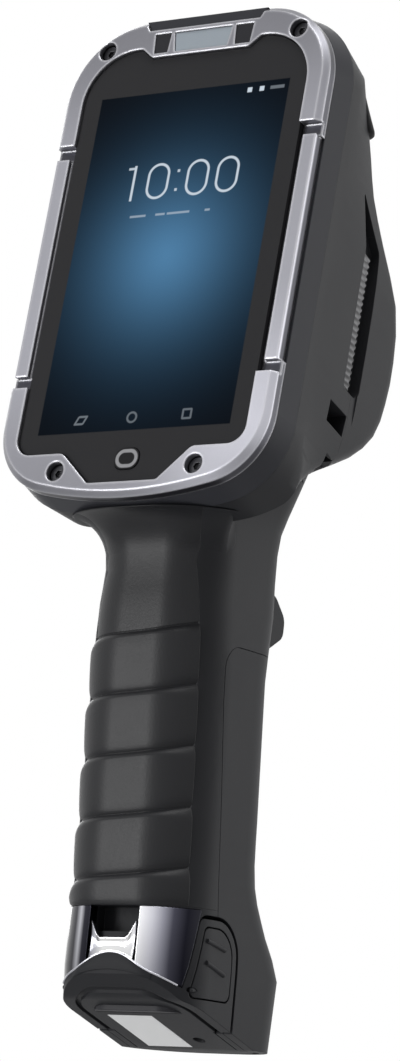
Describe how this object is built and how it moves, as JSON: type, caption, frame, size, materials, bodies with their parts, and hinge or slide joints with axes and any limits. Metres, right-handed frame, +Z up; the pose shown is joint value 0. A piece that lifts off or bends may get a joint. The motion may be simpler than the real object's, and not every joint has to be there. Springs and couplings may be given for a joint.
{
  "type": "portable barcode data terminal",
  "caption": "Handheld data terminal: a display head with a scan window in its back, on a pistol handle with a rubber grip, a trigger and a battery foot that latches and slides out.",
  "frame": {"origin": "on the handle's axis at the level of the lowest edge of the foot, which is the seat in a cradle", "axes": "+Z up along the handle, +X to the right of a person who faces the display, +Y to the back, where the trigger and the scan window are"},
  "size_m": [0.0748, 0.0724, 0.2421],
  "materials": {
    "bezel": "satin metallic paint over a cast frame",
    "screw_steel": "black oxide",
    "glass_black": "toughened glass, printed black on its back",
    "adhesive": "foam adhesive",
    "display": "dark display panel",
    "sheet_metal": "plain stamped sheet",
    "key": "fine matt with a printed ring",
    "electronics": "moulded, matt",
    "diffuser": "frosted",
    "dark_window": "polished dark tint",
    "housing": "fine spark-eroded texture",
    "seal": "matt",
    "rubber": "matt",
    "grille": "matt",
    "handle_skin": "fine matt",
    "chrome": "bright",
    "gold": "gold plated",
    "cable": "polyimide film",
    "trigger": "fine matt",
    "spring_steel": "plain",
    "board": "green solder resist",
    "battery": "smooth",
    "foot": "fine matt",
    "label": "bare plate",
    "paddle": "fine matt"
  },
  "bodies": {
    "terminal": {"front_bezel": "bezel", "bezel_screws": "screw_steel", "cover_glass": "glass_black", "glass_gasket": "adhesive", "display_panel": "display", "display_carrier": "sheet_metal", "home_key_switch": "electronics", "light_bar": "diffuser", "light_sensor_window": "dark_window", "camera_window": "dark_window", "camera_module": "electronics", "front_housing": "housing", "housing_seal": "seal", "rear_housing": "housing", "handle_collar": "housing", "rear_cover": "housing", "rear_cover_screws": "screw_steel", "scan_window_hood": "rubber", "scan_window": "dark_window", "scan_engine": "electronics", "scan_bracket": "sheet_metal", "main_board": "board", "shield_can": "sheet_metal", "vibration_motor": "sheet_metal", "loudspeaker": "electronics", "speaker_grille_right": "grille", "speaker_grille_left": "grille", "grip_front": "rubber", "handle_spine": "handle_skin", "contact_plate_right": "chrome", "contact_plate_left": "chrome", "lock_saddle": "chrome", "contact_block": "electronics", "contact_fingers": "gold", "handle_cable": "cable", "trigger_pin": "screw_steel", "trigger_switch": "electronics", "trigger_spring": "spring_steel"},
    "home_key_body": {"home_key": "key"},
    "trigger_body": {"scan_trigger": "trigger"},
    "battery_body": {"battery_foot": "foot", "battery_pack": "battery", "foot_label_plate": "label", "foot_screw": "screw_steel", "paddle_pin_right": "screw_steel", "paddle_pin_left": "screw_steel"},
    "latch_right_body": {"latch_paddle_right": "paddle"},
    "latch_left_body": {"latch_paddle_left": "paddle"}
  },
  "joints": [
    {"name": "home_key_press", "type": "slide", "parent": "terminal", "child": "home_key_body", "axis": [0, 0.9816, -0.1908], "range_m": [0, 0.0004], "stiffness_N_per_m": 800},
    {"name": "scan_trigger", "type": "hinge", "parent": "terminal", "child": "trigger_body", "pos_m": [0, 0.016, 0.109], "axis": [1, 0, 0], "range_deg": [-7, 0], "stiffness_Nm_per_rad": 0.6, "deforming": ["trigger_spring"]},
    {"name": "battery_slide", "type": "slide", "parent": "terminal", "child": "battery_body", "axis": [0, 0, -1], "range_m": [0, 0.09]},
    {"name": "latch_right", "type": "hinge", "parent": "battery_body", "child": "latch_right_body", "pos_m": [0.0169, 0, 0.0114], "axis": [0, 1, 0], "range_deg": [-4, 0], "stiffness_Nm_per_rad": 0.3},
    {"name": "latch_left", "type": "hinge", "parent": "battery_body", "child": "latch_left_body", "pos_m": [-0.0169, 0, 0.0114], "axis": [0, 1, 0], "range_deg": [0, 4], "stiffness_Nm_per_rad": 0.3}
  ]
}
